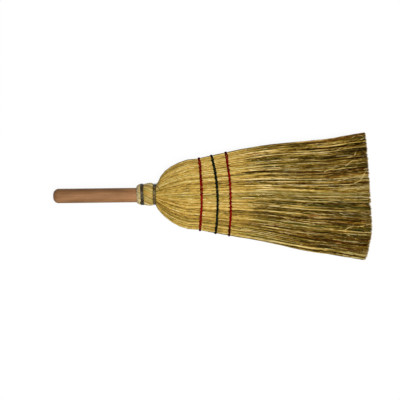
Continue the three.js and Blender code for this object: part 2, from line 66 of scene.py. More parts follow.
mm = 0.001
goldenShare = 0.618034   # steps of this fall evenly between 0 and 1
floorClear = 0.1 * mm    # no straw lies lower than this
wellOutside = 10 * mm    # outward directions are taken towards a skin this far outside
collarAside = 0.7 * mm   # the collar sits a little to one side of the stick
handleLow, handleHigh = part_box("handle")
axisZ = (handleLow.z + handleHigh.z) / 2
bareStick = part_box("collar_stalks")[0].x - handleLow.x
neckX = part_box("neck_wire")[1].x + 0.35 * mm   # stations are counted from the neck

# the head's outline, as the solids have it; upperShoulder has stations and swells in millimetres
head = dict(
    neck=19.6 * mm, shoulder=63.4 * mm, shoulderLength=72 * mm, fullness=0.8, crest=28 * mm,
    shoulderDeep=24.4 * mm, sewnEnd=128.2 * mm, sewnDeep=16 * mm, square=2.5,
    length=377 * mm, tip=114.8 * mm, tipDeep=24.8 * mm, bow=11 * mm,
    lean=5.4 * mm, leanFrom=175 * mm, leanTo=305 * mm,
    drift=1.2 * mm, driftAt=172 * mm, driftReach=75 * mm,
    waist=2.1 * mm, waistAt=314 * mm, waistReach=30 * mm,
    upperShoulder=((-4, 0), (0, -1.4), (3, -4.8), (5.5, -3.4), (9, 0), (13, 1.6), (23, 1.8), (34, 0)),
)

rows = [
    dict(node="red_twine_near", at=78 * mm, bow=4.1 * mm, tilt=0.5 * mm),
    dict(node="green_twine", at=103.2 * mm, bow=7.1 * mm, tilt=3.3 * mm),
    dict(node="red_twine_far", at=128.2 * mm, bow=5.4 * mm, tilt=2.5 * mm),
]


def between(first, second, share):
    return first + (second - first) * share


# eases from 0 at the first place to 1 at the second
def eased(value, first, second):
    share = np.clip((value - first) / (second - first), 0, 1)
    return share * share * (3 - 2 * share)


# 1 at a place, fading away on both sides of it
def hump(value, place, reach):
    return np.exp(-((value - place) / reach) ** 2)


def readOff(value, pairs):
    places, levels = zip(*pairs)
    return np.interp(value, places, levels)


def halfWidth(station):
    turnsAt = head["shoulderLength"]
    swell = (1 - (1 - np.clip(station / turnsAt, 0, 1)) ** 2) ** head["fullness"]
    share = (station - turnsAt) / (head["length"] - turnsAt)
    far = between(head["shoulder"], head["tip"], share) + head["bow"] * share * (1 - share)
    far = far - head["waist"] * hump(station, head["waistAt"], head["waistReach"])
    return np.where(station < turnsAt, between(head["neck"], head["shoulder"], swell), far)


def halfDeep(station):
    swell = np.sin(np.clip(station / head["crest"], 0, 1) * math.pi / 2)
    near = between(head["neck"], head["shoulderDeep"], swell)
    mid = between(head["shoulderDeep"], head["sewnDeep"], eased(station, head["crest"], head["sewnEnd"]))
    share = (station - head["sewnEnd"]) / (head["length"] - head["sewnEnd"])
    far = between(head["sewnDeep"], head["tipDeep"], share)
    return np.where(station < head["crest"], near, np.where(station < head["sewnEnd"], mid, far))


def squareness(station):
    return between(2, head["square"], eased(station, 0, head["shoulderLength"]))


def signedPower(value, exponent):
    return np.sign(value) * np.abs(value) ** exponent


def lean(station):
    drift = head["drift"] * hump(station, head["driftAt"], head["driftReach"])
    return drift - head["lean"] * eased(station, head["leanFrom"], head["leanTo"])


# the +Y side of the shoulder starts later and swells more
def upperSwell(station):
    return readOff(station / mm, head["upperShoulder"]) * mm


def inHead(station, y, z):
    return np.stack([neckX + station + 0 * y, y, axisZ + z], -1)


# a point of the head's skin at a turn round the axis, sunk by inset
def skinPoint(station, turn, inset):
    power = 2 / squareness(station)
    y = (halfWidth(station) - inset) * signedPower(np.cos(turn), power) + lean(station)
    y = y + upperSwell(station) * np.clip(np.cos(turn), 0, 1) ** 2
    return inHead(station, y, (halfDeep(station) - inset) * signedPower(np.sin(turn), power))


# a path on the skin, and which way is outwards along it
def skinPath(station, turn, inset):
    points = skinPoint(station, turn, inset)
    return points, skinPoint(station, turn, -wellOutside) - points


# a point inside the head, by its shares of the width and of the depth there
def bodyPoint(station, across, up):
    square = squareness(station)
    z = up * halfDeep(station) * (1 - np.clip(np.abs(across), 0, 1) ** square) ** (1 / square)
    return inHead(station, across * halfWidth(station) + lean(station), z)


# a point beside the stick, where the collar and its wires lie
def roundStick(x, radius, turn):
    return np.stack([x, collarAside + radius * np.cos(turn), axisZ + radius * np.sin(turn)], -1)


# how far along a run each point lies
def lengthAlong(points):
    return np.concatenate([[0], np.cumsum(np.linalg.norm(np.diff(points, axis=0), axis=1))])


# turns that lie evenly along the head's skin at one station
def evenTurns(station, count, start, end):
    fine = np.linspace(start, end, 2000)
    along = lengthAlong(skinPoint(station, fine, 0.0))
    wanted = (np.arange(count) + 0.5) / count * along[-1]
    return np.interp(wanted, along, fine)


def unit(vectors):
    return vectors / np.linalg.norm(vectors, axis=-1, keepdims=True)


# sideways and upwards, all along a path
def acrossPath(points, outward):
    along = unit(np.gradient(points, axis=-2))
    side = unit(np.cross(along, outward))
    return side, np.cross(side, along)


def paint(red, green, blue):
    def linear(byte):
        share = byte / 255
        return share / 12.92 if share <= 0.04045 else ((share + 0.055) / 1.055) ** 2.4
    return (linear(red), linear(green), linear(blue), 1.0)


# shader maths on numbers that change over a surface
class Number:
    def __init__(self, look, socket):
        self.look = look
        self.socket = socket

    def __add__(self, other):
        return self.look.maths("ADD", self, other)

    def __radd__(self, other):
        return self.look.maths("ADD", other, self)

    def __sub__(self, other):
        return self.look.maths("SUBTRACT", self, other)

    def __rsub__(self, other):
        return self.look.maths("SUBTRACT", other, self)

    def __mul__(self, other):
        return self.look.maths("MULTIPLY", self, other)

    def __rmul__(self, other):
        return self.look.maths("MULTIPLY", other, self)


class Look:
    def __init__(self, owner):
        owner.use_nodes = True
        self.owner = owner
        self.tree = owner.node_tree
        self.tree.nodes.clear()

    def node(self, kind, settings, inputs):
        made = self.tree.nodes.new("ShaderNode" + kind)
        for key, value in settings.items():
            setattr(made, key, value)
        for key, value in inputs.items():
            self.feed(made.inputs[key], value)
        return made

    def feed(self, socket, value):
        if isinstance(value, Number):
            value = value.socket
        if isinstance(value, bpy.types.NodeSocket):
            self.tree.links.new(value, socket)
        else:
            socket.default_value = value

    def number(self, kind, settings, inputs, output):
        return Number(self, self.node(kind, settings, inputs).outputs[output])

    def maths(self, operation, first, second):
        return self.number("Math", {"operation": operation}, {0: first, 1: second}, "Value")

    def clamped(self, value):
        return self.number("Clamp", {}, {"Value": value}, "Result")

    def attribute(self, name):
        return self.number("Attribute", {"attribute_name": name}, {}, "Fac")

    def objectPoint(self, along, across):
        inputs = {"Vector": self.node("TexCoord", {}, {}).outputs["Object"], "Scale": (along, across, across)}
        return self.node("Mapping", {}, inputs).outputs["Vector"]

    # how many reaches a point lies past a place on one axis
    def offPlace(self, axis, place, reach):
        point = self.objectPoint(1 / reach, 1 / reach)
        return self.number("SeparateXYZ", {}, {"Vector": point}, axis) - place * (1 / reach)

    # noise that changes so fast along the broom and so fast across it
    def noise(self, along, across, detail):
        inputs = {"Vector": self.objectPoint(along, across), "Scale": 1.0, "Detail": detail}
        return self.number("TexNoise", {}, inputs, "Fac")

    # noise over two numbers of the surface's own
    def pairNoise(self, first, second, detail=2.0):
        pair = self.node("CombineXYZ", {}, {"X": first, "Y": second}).outputs["Vector"]
        inputs = {"Vector": pair, "Scale": 1.0, "Detail": detail, "Roughness": 0.62}
        return self.number("TexNoise", {"noise_dimensions": "2D"}, inputs, "Fac")

    # 1 for the rays that find the plain white background
    def plainRays(self):
        rays = self.node("LightPath", {}, {}).outputs
        found = Number(self, rays["Is Camera Ray"]) + rays["Is Glossy Ray"] + rays["Is Transmission Ray"]
        return self.clamped(found)

    def ramp(self, value, stops):
        made = self.node("ValToRGB", {}, {"Fac": value})
        elements = made.color_ramp.elements
        elements.remove(elements[1])
        elements[0].position, elements[0].color = stops[0]
        for place, colour in stops[1:]:
            elements.new(place).color = colour
        return made.outputs["Color"]

    def blend(self, share, first, second, how="MIX"):
        settings = {"data_type": "RGBA", "blend_type": how}
        return self.node("Mix", settings, {0: share, 6: first, 7: second}).outputs[2]

    def bump(self, height, strength, distance):
        inputs = {"Height": height, "Strength": strength, "Distance": distance}
        return self.node("Bump", {}, inputs).outputs["Normal"]

    def finish(self, colour, roughness, normal=None):
        self.feed(self.surface.inputs["Base Color"], colour)
        self.feed(self.surface.inputs["Roughness"], roughness)
        if normal:
            self.feed(self.surface.inputs["Normal"], normal)
        return self.owner


def surfaceLook(name, gloss=0.5, metal=0.0):
    look = Look(bpy.data.materials.new(name))
    fixed = {"Specular IOR Level": gloss, "Metallic": metal}
    look.surface = look.node("BsdfPrincipled", {}, fixed)
    look.output = look.node("OutputMaterial", {}, {"Surface": look.surface.outputs["BSDF"]})
    return look


# what all dry straw has in common; the skirt's locks are tinted from tawny to greyish green
dryStraw = dict(
    seedStep=61.0, speckScale=100.0, fleckScale=120.0, fleckAside=9.0, lines=0.16,
    hueScale=16.0, hueAside=31.0, hueRun=10.0, cutSharpness=900.0, cutEnd=paint(222, 198, 140),
    hues=[(0.32, (1.0, 0.92, 0.5, 1.0)), (0.5, (1.0, 0.97, 0.9, 1.0)), (0.68, (0.92, 0.98, 1.0, 1.0))],
)


# dry straw: each straw has its own tone, hue and age, mottled along its length
def strawLook(name, finish):
    look = surfaceLook(name, gloss=finish["gloss"])
    seed = look.attribute("seed") * dryStraw["seedStep"]
    along = look.attribute("along")
    fan = look.attribute("fan")
    station = look.attribute("station")

    # a share at the neck, and how much it grows with each metre from there
    def grown(pair):
        return station * pair[1] + pair[0]

    patches = look.pairNoise(along * finish["patchScale"], seed)
    specks = look.pairNoise(along * dryStraw["speckScale"], seed, detail=5.0)
    lines = look.noise(14, 1500, detail=2.0)
    lockFan = fan * finish["lockScale"]
    locks = look.pairNoise(lockFan, station * finish["lockRun"])
    flecks = look.pairNoise(lockFan + dryStraw["fleckAside"], station * dryStraw["fleckScale"], detail=4.0)
    mottle = (patches - 0.5) * finish["patches"] + (specks - 0.5) * finish["specks"]
    mottle = mottle + (lines - 0.5) * dryStraw["lines"]
    mottle = mottle + (locks - 0.5) * grown(finish["locks"]) + (flecks - 0.5) * grown(finish["flecks"])
    colour = look.ramp(look.attribute("tone") + mottle, finish["stops"])
    hue = look.pairNoise(fan * dryStraw["hueScale"] + dryStraw["hueAside"], station * dryStraw["hueRun"])
    tint = look.ramp(hue, dryStraw["hues"])
    colour = look.blend(look.clamped(grown(finish["tint"])), colour, tint, "MULTIPLY")
    colour = look.blend(look.attribute("green"), colour, finish["green"])
    colour = look.blend(look.attribute("rust"), colour, finish["rust"])
    cutEnd = look.clamped(1.0 - look.attribute("left") * dryStraw["cutSharpness"])
    colour = look.blend(cutEnd * 0.9, colour, dryStraw["cutEnd"])
    roughness = finish["roughness"] + (patches - 0.5) * 0.2
    return look.finish(colour, roughness, look.bump(lines + specks * 0.5, 0.3, 0.2 * mm))


shoulderFinish = dict(
    gloss=0.12, roughness=0.5, patches=0.6, patchScale=45.0, specks=0.7,
    lockScale=34.0, lockRun=13.0, locks=(0.4, 0.0), flecks=(0.55, 0.0), tint=(0.0, 0.0),
    green=paint(122, 118, 40), rust=paint(176, 112, 44),
    stops=[(0.0, paint(66, 46, 8)), (0.25, paint(126, 97, 32)), (0.5, paint(179, 144, 60)),
           (0.75, paint(205, 176, 98)), (1.0, paint(236, 216, 156))],
)
skirtFinish = dict(
    gloss=0.04, roughness=0.7, patches=0.9, patchScale=26.0, specks=0.9,
    lockScale=50.0, lockRun=9.0, locks=(1.0, 3.4), flecks=(0.0, 2.9), tint=(-0.55, 4.6),
    green=paint(92, 92, 30), rust=paint(128, 70, 20),
    stops=[(0.0, paint(28, 17, 1)), (0.25, paint(82, 59, 12)), (0.5, paint(143, 114, 44)),
           (0.75, paint(190, 159, 82)), (1.0, paint(236, 212, 148))],
)


def collarStalkLook():
    look = surfaceLook("collar stalks", gloss=0.28)
    cut = look.attribute("cut")
    patches = look.noise(260, 260, detail=3.0)
    fibres = look.noise(60, 1300, detail=3.0)
    grain = look.noise(900, 900, detail=2.0)
    shade = look.attribute("tone") + (patches - 0.5) * 0.35 + (fibres - 0.5) * 0.3
    skin = look.ramp(shade, [
        (0.0, paint(78, 60, 18)), (0.3, paint(138, 112, 46)),
        (0.6, paint(182, 155, 82)), (1.0, paint(218, 202, 148)),
    ])
    skin = look.blend(look.attribute("green"), skin, paint(138, 132, 54))
    skin = look.blend(look.attribute("rust"), skin, paint(196, 146, 48))
    pith = look.ramp(grain, [(0.35, paint(138, 118, 76)), (0.65, paint(212, 198, 158))])
    bump = look.bump(grain * 0.5 + fibres, 0.3, 0.2 * mm)
    return look.finish(look.blend(cut, skin, pith), 0.45 + cut * 0.35, bump)


def innerStrawLook():
    look = surfaceLook("packed inner straw", gloss=0.2)
    lines = look.noise(30, 1300, detail=4.0)
    stops = [(0.25, paint(70, 50, 18)), (0.5, paint(142, 112, 56)), (0.8, paint(190, 160, 96))]
    return look.finish(look.ramp(lines, stops), 0.75 + (lines - 0.5) * 0.2, look.bump(lines, 0.8, 0.6 * mm))


def handleWoodLook():
    look = surfaceLook("turned beech", gloss=0.1)
    grain = look.noise(14, 420, detail=4.0)
    flecks = look.noise(170, 800, detail=2.0)
    drift = look.noise(16, 60, detail=2.0)
    wood = look.ramp(0.5 + (grain - 0.5) * 0.55 + (drift - 0.5) * 0.6, [
        (0.2, paint(96, 62, 34)), (0.45, paint(138, 98, 63)),
        (0.6, paint(158, 114, 76)), (0.85, paint(176, 133, 92)),
    ])
    # darker towards the butt, lightest next to the collar
    darkerTowardsButt = look.ramp(look.offPlace("X", handleLow.x, bareStick), [
        (0.0, (0.76, 0.76, 0.76, 1)), (0.78, (0.84, 0.84, 0.84, 1)), (0.92, (1, 1, 1, 1)),
    ])
    wood = look.blend(1.0, wood, darkerTowardsButt, "MULTIPLY")
    fleckShare = Number(look, look.ramp(flecks, [(0.62, (0, 0, 0, 1)), (0.72, (1, 1, 1, 1))])) * 0.5
    wood = look.blend(fleckShare, wood, paint(110, 74, 48))
    return look.finish(wood, 0.52 + (grain - 0.5) * 0.25, look.bump(grain + flecks * 0.3, 0.2, 0.25 * mm))


def wireLook():
    look = surfaceLook("annealed binding wire", metal=0.75)
    scale = look.noise(700, 700, detail=3.0)
    wear = look.noise(120, 160, detail=2.0)
    stops = [(0.3, paint(14, 11, 6)), (0.5, paint(58, 50, 33)), (0.7, paint(112, 108, 92))]
    steel = look.ramp(scale * 0.5 + wear * 0.5, stops)
    return look.finish(steel, 0.4 + scale * 0.25, look.bump(scale, 0.15, 0.1 * mm))


def nailLook():
    look = surfaceLook("nail steel", metal=1.0)
    scale = look.noise(500, 500, detail=2.0)
    steel = look.ramp(scale, [(0.3, paint(120, 118, 114)), (0.7, paint(176, 174, 170))])
    return look.finish(steel, 0.35 + scale * 0.2)


# painted shade: the rows darken where they turn round the broom's edges
def twineLook(name, dark, mid, bright):
    look = surfaceLook(name, gloss=0.05)
    fuzz = look.noise(900, 900, detail=3.0)
    drift = look.noise(70, 70, detail=2.0)
    # painted shade: darker near the axis height, where the rows turn round the edges
    outOfEdgeShade = look.clamped(look.maths("ABSOLUTE", look.offPlace("Z", axisZ, 14 * mm), 0.0))
    shade = outOfEdgeShade * 0.6 - 0.1 + (fuzz - 0.5) * 0.6 + (drift - 0.5) * 0.8
    colour = look.ramp(shade, [(0.25, dark), (0.5, mid), (0.8, bright)])
    return look.finish(colour, 0.75 + (fuzz - 0.5) * 0.3, look.bump(fuzz, 0.35, 0.2 * mm))


shoulderLook = strawLook("golden shoulder straw", shoulderFinish)
skirtLook = strawLook("fine skirt straw", skirtFinish)
innerLook = innerStrawLook()
collarLook = collarStalkLook()
beechLook = handleWoodLook()
steelLook = wireLook()
nailHeadLook = nailLook()
redLook = twineLook("red waxed twine", paint(46, 1, 1), paint(106, 4, 1), paint(158, 20, 10))
greenLook = twineLook("green waxed twine", paint(3, 6, 2), paint(12, 17, 7), paint(34, 42, 20))
print("finishes mixed")


# changes the edges whose two ends pass a test
def changeEdges(piece, wanted, change):
    bpy.ops.object.mode_set(mode="EDIT")
    bpy.ops.mesh.select_mode(type="EDGE")
    bpy.ops.mesh.select_all(action="DESELECT")
    bpy.ops.object.mode_set(mode="OBJECT")
    points = piece.data.vertices
    for edge in piece.data.edges:
        edge.select = wanted(*(points[i].co for i in edge.vertices))
    bpy.ops.object.mode_set(mode="EDIT")
    change()
    bpy.ops.object.mode_set(mode="OBJECT")


def pickOnly(*pieces):
    bpy.ops.object.select_all(action="DESELECT")
    for piece in pieces:
        piece.select_set(True)
    bpy.context.view_layer.objects.active = pieces[0]


# one straw, modelled once: a cylinder of unit radius cut into rings along its length
def strawTemplate(sides, rings):
    bpy.ops.mesh.primitive_cylinder_add(vertices=sides, radius=1, depth=1)
    straw = bpy.context.object
    changeEdges(straw, lambda one, other: abs(one.z - other.z) > 0.5,
                lambda: bpy.ops.mesh.subdivide(number_cuts=rings - 2))
    place = np.array([point.co for point in straw.data.vertices])
    faces = straw.data.polygons
    template = dict(
        ring=np.rint((place[:, 2] + 0.5) * (rings - 1)).astype(int),
        side=place[:, :1],
        lift=place[:, 1:2],
        corners=np.array([i for face in faces for i in face.vertices]),
        starts=np.array([face.loop_start for face in faces]),
    )
    bpy.data.objects.remove(straw)
    return template


def meshOf(name, points, corners, starts):
    mesh = bpy.data.meshes.new(name)
    mesh.vertices.add(len(points))
    mesh.vertices.foreach_set("co", points.astype(np.float32).ravel())
    mesh.loops.add(len(corners))
    mesh.loops.foreach_set("vertex_index", corners.astype(np.int32))
    mesh.polygons.add(len(starts))
    mesh.polygons.foreach_set("loop_start", starts.astype(np.int32))
    mesh.update(calc_edges=True)
    mesh.validate()
    mesh.shade_smooth()
    piece = bpy.data.objects.new(name, mesh)
    bpy.context.scene.collection.objects.link(piece)
    return piece


# copies of one straw along the rows of centres; a mark has a value for each straw or each ring
def layStraws(name, sides, flatness, *layers):
    marks = {key: np.concatenate([layer[key] for layer in layers]) for key in layers[0]}
    centres, outward, radius = (marks.pop(key) for key in ("centres", "outward", "radius"))
    count, rings = centres.shape[:2]
    template = strawTemplate(sides, rings)
    side, lift = acrossPath(centres, outward)
    ring = template["ring"]
    width = radius[:, ring, None]
    points = (centres[:, ring] + side[:, ring] * width * template["side"]
              + lift[:, ring] * width * flatness * template["lift"])
    points[..., 2] = np.maximum(points[..., 2], floorClear)
    copies = np.arange(count)[:, None]
    corners = (template["corners"] + copies * len(ring)).ravel()
    starts = (template["starts"] + copies * len(template["corners"])).ravel()
    piece = meshOf(name, points.reshape(-1, 3), corners, starts)
    x, y = centres[..., 0], centres[..., 1]
    marks["along"] = x - x[:, :1]
    marks["station"] = x - neckX
    marks["left"] = x[:, -1:] - x
    marks["fan"] = (y - lean(x - neckX)) / halfWidth(x - neckX)
    marks["seed"] = (np.arange(count)[:, None] * goldenShare) % 1.0
    for mark, values in marks.items():
        layer = piece.data.attributes.new(mark, "FLOAT", "POINT")
        spread = np.broadcast_to(values, (count, rings))[:, ring]
        layer.data.foreach_set("value", spread.astype(np.float32).ravel())
    return piece


def giveLook(piece, look):
    piece.data.materials.clear()
    piece.data.materials.append(look)


def dress(piece, look, slot, *nodes):
    giveLook(piece, look)
    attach(piece, "root")
    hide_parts(*nodes)


# values that neighbours share, so that straws of one tone lie in bands
def bands(turns, count, spread, draw):
    knots = draw.normal(0, spread, count)
    return np.interp(turns, np.linspace(turns.min(), turns.max(), count), knots)


def rowStation(row, y):
    share = y / halfWidth(row["at"])
    return row["at"] + row["bow"] * (1 - share * share) - row["tilt"] * share


# shoulder straws, from under the neck wire out past the last row
shoulder = dict(
    count=92, sides=5, flatness=0.85, radius=1.12 * mm, layers=(0.5 * mm, 1.5 * mm, 2.5 * mm),
    spacedAt=80 * mm, edge=0.06,
    nearNeck=np.array([-0.6, 1.9, 4.4, 9, 17, 28, 42, 57]) * mm,
    groove=5 * mm, grooveReach=4.5 * mm, tail=(150 * mm, 235 * mm),
    tailShares=np.array([0.35, 0.7, 1]),
    pull=1.0 * mm, puff=0.5 * mm, lumps=0.8 * mm, tailSink=2.5 * mm,
    underWire=2.1 * mm, shallowest=0.2 * mm, taper=0.6,
    tone=0.57, deeperLayerShade=90, fade=0.26, brighten=0.05,
    creases=((0.12, 0.14, 0.35, 42), (0.75, 0.07, 0.2, 17), (1.3, 0.07, 0.4, 17), (1.75, 0.07, 0.25, 17),
             (2.15, 0.07, 0.3, 17)),
    levels=((0.0, 0.01), (1.3, -0.01), (1.9, -0.07), (2.6, -0.05)),
)


# painted shade in the folds below the neck wire: turns, widths, depths, and reaches in millimetres
def creaseShade(turn, station):
    return sum(depth * hump(turn, at, width) * hump(station, 0, reach * mm)
               for at, width, depth, reach in shoulder["creases"])


def shoulderStations(turn, draw):
    columns = [np.tile(shoulder["nearNeck"], (len(turn), 1))]
    for row in rows:
        middle = rowStation(row, skinPoint(row["at"], turn, 0.0)[..., 1])
        columns.append(middle + np.array([-1, 0, 1]) * shoulder["groove"])
    end = draw.uniform(*shoulder["tail"], turn.shape)
    columns.append(between(columns[-1][:, -1:], end, shoulder["tailShares"]))
    return np.concatenate(columns, axis=1)


# how deep the straws lie: pulled in at each row, puffed out between the rows
def shoulderSink(depth, station, turns, lumps):
    y = skinPoint(station, turns, 0.0)[..., 1]
    press = sum(hump(station, rowStation(row, y), shoulder["grooveReach"]) for row in rows)
    sink = depth + lumps * eased(station, 0, 30 * mm) + shoulder["pull"] * press
    sink = sink - shoulder["puff"] * (1 - press) * eased(station, 0, 60 * mm)
    sink = sink + shoulder["tailSink"] * eased(station, 145 * mm, 225 * mm)
    underWire = shoulder["underWire"] + depth * 0.4
    return np.where(station < 0, underWire, np.maximum(sink, shoulder["shallowest"]))


def shoulderTone(depth, turn, station, draw):
    # painted shade: the -Y side of the front shoulder and all of the back are a little darker, by turn
    own = bands(turn, 38, 0.07, draw) + draw.normal(0, 0.15, turn.shape) + readOff(turn, shoulder["levels"])
    fade = shoulder["fade"] * eased(station, 132 * mm, 212 * mm)
    fade = fade - shoulder["brighten"] * eased(station, 40 * mm, 80 * mm)
    # painted shade: deeper layers of straw are darker
    return shoulder["tone"] + own - depth * shoulder["deeperLayerShade"] - fade - creaseShade(turn, station)


# some bands of straws are greener or rustier than the rest
def tinted(turn, draw, knots, middle, spread, most):
    return np.clip(bands(turn, knots, 0.2, draw) + draw.normal(middle, spread, turn.shape), 0, most)


def shoulderLayer(depth, start, end, draw):
    size = (shoulder["count"], 1)
    turn = evenTurns(shoulder["spacedAt"], size[0], start, end)[:, None] + draw.normal(0, 0.007, size)
    station = shoulderStations(turn, draw)
    sway = draw.normal(0, 0.016, size) * np.abs(np.sin(turn))
    turns = turn + sway * eased(station, 0, 150 * mm)
    lumps = draw.uniform(0, shoulder["lumps"], size)
    centres, outward = skinPath(station, turns, shoulderSink(depth, station, turns, lumps))
    own = shoulder["radius"] * draw.uniform(0.6, 1.2, size)
    narrow = between(0.5, 1, eased(station, 0, 60 * mm))
    return dict(
        centres=centres, outward=outward,
        radius=own * narrow * (1 - shoulder["taper"] * eased(station, 150 * mm, 220 * mm)),
        tone=shoulderTone(depth, turn, station, draw),
        green=tinted(turn, draw, knots=30, middle=-0.1, spread=0.25, most=0.75),
        rust=tinted(turn, draw, knots=24, middle=-0.3, spread=0.2, most=0.5),
    )


def makeShoulder(faceName, middle, seed):
    draw = np.random.default_rng(seed)
    half = math.pi / 2 + shoulder["edge"]
    layers = [shoulderLayer(depth, middle - half, middle + half, draw) for depth in shoulder["layers"]]
    piece = layStraws("shoulder_straw_" + faceName, shoulder["sides"], shoulder["flatness"], *layers)
    dress(piece, shoulderLook, "cover_straw", "straw_cover_" + faceName)


makeShoulder("front", math.pi / 2, 11)
makeShoulder("back", math.pi * 1.5, 12)
print("shoulder laid")

# skirt: stalks that fork into fibres, from inside the sewn part to the tips
skirt = dict(
    starts=(90 * mm, 134 * mm), growsFrom=120 * mm, edgeShare=0.995, widest=0.97, aslant=0.3,
    trim=386.2 * mm, trimDrops=(9.3 * mm, 10.5 * mm), trimPeak=-0.45, ragged=2.4 * mm,
    press=1.6 * mm, shade=0.95, tone=0.54, brightShare=0.08, brighter=0.35, mostTint=0.7,
    bands=((-1, -0.3), (-0.94, -0.09), (-0.75, -0.15), (-0.58, -0.13), (-0.42, -0.06), (-0.25, 0.05),
           (-0.08, 0.12), (0.08, 0.16), (0.25, 0.15), (0.42, 0.03), (0.56, -0.15), (0.75, -0.14),
           (0.94, -0.08), (1, 0.05)),
    greenBands=((-1, 0.05), (-0.42, 0.12), (-0.08, 0.2), (0.08, 0.05), (0.25, -0.1), (1, -0.05)),
)


# the trimmed edge bows out most a little below its middle
def trimmedStation(across):
    peak = skirt["trimPeak"]
    upper, lower = skirt["trimDrops"]
    above = upper * np.clip((across - peak) / (1 - peak), 0, 1.1)
    below = lower * np.clip((peak - across) / (1 + peak), 0, 1.06) ** 1.7
    return skirt["trim"] - above - below


# a straw that would pass the broom's edge is mirrored back inside it
def insideEdge(share):
    edge, share = skirt["edgeShare"], np.abs(share)
    return np.where(share > edge, 2 * edge - share, share)


# painted shade: straws that lie deeper are darker
def shade(up):
    return skirt["shade"] * np.clip(0.95 - np.abs(up), 0, 0.45)


# for each ring: its share of the way, its station and how far down the skirt that is
def stretched(sort, start, end):
    share = np.linspace(0, 1, sort["rings"])
    station = between(start, end, share)
    top = skirt["growsFrom"]
    return share, station, np.clip((station - top) / (head["length"] - top), 0, 1.1)


# one quarter of the skirt, on one face and one side
class Quarter:
    def __init__(self, name, face, side, seed):
        self.name = name
        self.face = face
        self.side = side
        self.draw = np.random.default_rng(seed)
        self.laid = []

    # brightest just above the middle, darkest on either side of it
    def tone(self, across):
        bright = self.draw.uniform(0, 1, across.shape) < skirt["brightShare"]
        tone = skirt["tone"] + readOff(across * self.side, skirt["bands"]) + bright * skirt["brighter"]
        return tone + self.draw.normal(0, 0.29, across.shape)

    def green(self, across):
        return readOff(across * self.side, skirt["greenBands"]) + self.draw.normal(0, 0.27, across.shape)

    def trimmed(self, across):
        short = np.abs(self.draw.normal(0, skirt["ragged"], across.shape))
        return trimmedStation(insideEdge(across) * self.side) - short

    # a sway that grows along the straws, one for each owner
    def sway(self, centres, owner, share, size, mostWaves):
        owners = (owner.max() + 1, 1)
        for axis, part in ((1, 1.0), (2, 0.5)):
            phase = self.draw.uniform(0, 1, owners)[owner]
            waves = self.draw.uniform(0.5, mostWaves, owners)[owner]
            reach = self.draw.uniform(0.1, 1.0, owners)[owner] * size / waves ** 0.5
            centres[..., axis] += part * np.sin(2 * math.pi * (share * waves + phase)) * reach * share

    # the paths of a sort's straws, pressed in at the last row, and their thickness
    def paths(self, sort, share, station, across, up, parent=None):
        up = np.abs(up)
        centres = bodyPoint(station, insideEdge(across) * self.side, np.clip(up, 0, 0.98) * self.face)
        if parent is not None:
            self.sway(centres, parent, share, *sort["lockSway"])
        self.sway(centres, np.arange(sort["count"]), share, *sort["sway"])
        press = skirt["press"] * (1 - eased(station, 134 * mm, 148 * mm))
        centres[..., 2] -= self.face * press * np.clip(up * 4 - 3, 0, 1)
        own = self.draw.uniform(*sort["widths"], (sort["count"], 1))
        taper, power = sort["taper"]
        outward = np.array([0.0, self.side * skirt["aslant"], self.face])
        radius = sort["radius"] * own * (1 - taper * share ** power)
        return dict(centres=centres, outward=outward, radius=radius)

    def lay(self, sort, layer, tone, green, rust):
        most = skirt["mostTint"]
        layer.update(tone=tone, green=np.clip(green, 0, most), rust=np.clip(rust, 0, most))
        self.laid.append(layStraws("skirt_straw_" + self.name, sort["sides"], 1.0, layer))


# main stalks, down to where they fork
stalks = dict(
    count=300, sides=5, rings=8, radius=0.95 * mm, widths=(0.55, 1.2), taper=(0.62, 1.4),
    sway=(1.0 * mm, 1.7), fork=(165 * mm, 300 * mm), pastFork=14 * mm, lighter=0.06, fade=0.14,
)


def layStalks(quarter):
    draw, size = quarter.draw, (stalks["count"], 1)
    across = draw.uniform(0, skirt["edgeShare"], size)
    up = 0.98 * draw.uniform(0, 1, size) ** 0.55
    turnAcross = draw.normal(0, 0.034, size)
    turnUp = draw.normal(0, 0.06, size)
    start = draw.uniform(*skirt["starts"], size)
    fork = draw.uniform(*stalks["fork"], size)
    tone = quarter.tone(across)
    green = quarter.green(across)
    rust = draw.normal(-0.07, 0.25, size)
    share, station, run = stretched(stalks, start, fork + stalks["pastFork"])
    layer = quarter.paths(stalks, share, station, across + turnAcross * run, up + turnUp * run)
    stalkTone = tone + stalks["lighter"] - shade(up) - stalks["fade"] * run
    quarter.lay(stalks, layer, stalkTone, green, rust * run)
    return across, up, turnAcross, turnUp, fork, tone, green, rust


# fine fibres that each stalk forks into
fibres = dict(
    count=5 * stalks["count"], sides=4, rings=11, radius=0.5 * mm, widths=(0.6, 1.4),
    taper=(0.5, 1), lockSway=(1.5 * mm, 1.7), sway=(0.9 * mm, 4.0), beforeFork=34 * mm,
    apart=0.007, crossing=0.05, crossingShare=0.13, shortShare=0.2, short=(4 * mm, 60 * mm),
    lighter=0.12, fade=0.36, rustier=1.5,
)


